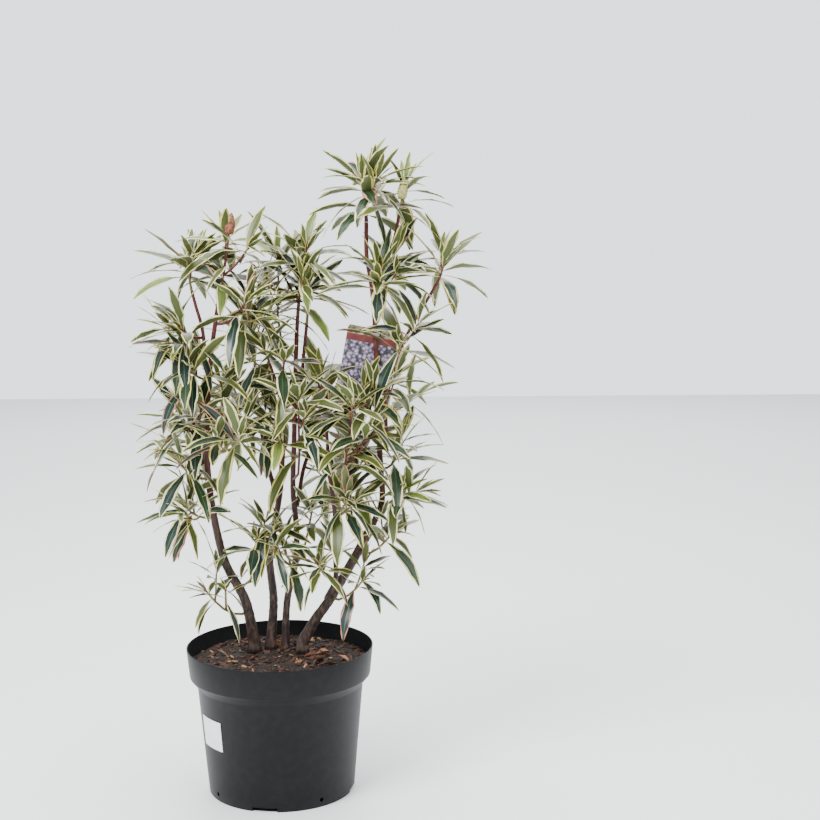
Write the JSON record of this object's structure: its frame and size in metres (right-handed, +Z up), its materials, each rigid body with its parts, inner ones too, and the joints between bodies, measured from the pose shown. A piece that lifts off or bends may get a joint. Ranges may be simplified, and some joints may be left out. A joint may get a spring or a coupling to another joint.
{
  "type": "potted variegated pontic rhododendron",
  "caption": "Leggy young evergreen shrub with whorls of narrow cream-edged leaves on bare reddish stems, standing in a filled black nursery pot.",
  "frame": {"origin": "centre of the pot's flat underside", "axes": "+Z up along the pot's axis, +X to the picture's right, +Y away from the camera"},
  "size_m": [0.5403, 0.4269, 0.9387],
  "materials": {
    "bark": "matte",
    "young_bark": "satin",
    "leaf": "satin",
    "pot_plastic": "satin",
    "peat": "matte",
    "sticker": "satin",
    "tag_card": "gloss"
  },
  "bodies": {
    "root": {"bough_back_left": "young_bark", "bough_back_right": "young_bark", "bough_left": "young_bark", "bough_middle_twin": "young_bark", "bough_right_arm": "young_bark", "bough_right_out": "young_bark", "compost": "peat", "name_tag": "tag_card", "pot": "pot_plastic", "pot_label": "sticker", "spray_back_left_side": "leaf", "spray_back_left_top": "leaf", "spray_back_right_side": "leaf", "spray_back_right_top": "leaf", "spray_front_right": "leaf", "spray_left_back": "leaf", "spray_left_front": "leaf", "spray_left_hanging": "leaf", "spray_left_high": "leaf", "spray_left_inner": "leaf", "spray_left_low": "leaf", "spray_left_middle": "leaf", "spray_left_outer": "leaf", "spray_left_shoulder": "leaf", "spray_left_top": "leaf", "spray_left_upper": "leaf", "spray_low_gap": "leaf", "spray_low_left": "leaf", "spray_mid_right_foot": "leaf", "spray_mid_right_low": "leaf", "spray_mid_right_top": "leaf", "spray_middle_cheek": "leaf", "spray_middle_front": "leaf", "spray_middle_left_front": "leaf", "spray_middle_left_top": "leaf", "spray_middle_low": "leaf", "spray_middle_thin": "leaf", "spray_middle_top": "leaf", "spray_middle_twin": "leaf", "spray_middle_upper": "leaf", "spray_right_back": "leaf", "spray_right_face": "leaf", "spray_right_foot": "leaf", "spray_right_fork": "leaf", "spray_right_inner": "leaf", "spray_right_low": "leaf", "spray_right_low_out": "leaf", "spray_right_mid": "leaf", "spray_right_out_mid": "leaf", "spray_right_out_top": "leaf", "spray_top": "leaf", "spray_top_right": "leaf", "stem_left": "bark", "stem_middle": "bark", "stem_middle_left": "bark", "stem_middle_right": "young_bark", "stem_right": "bark", "stem_right_upper": "young_bark"}
  },
  "joints": []
}
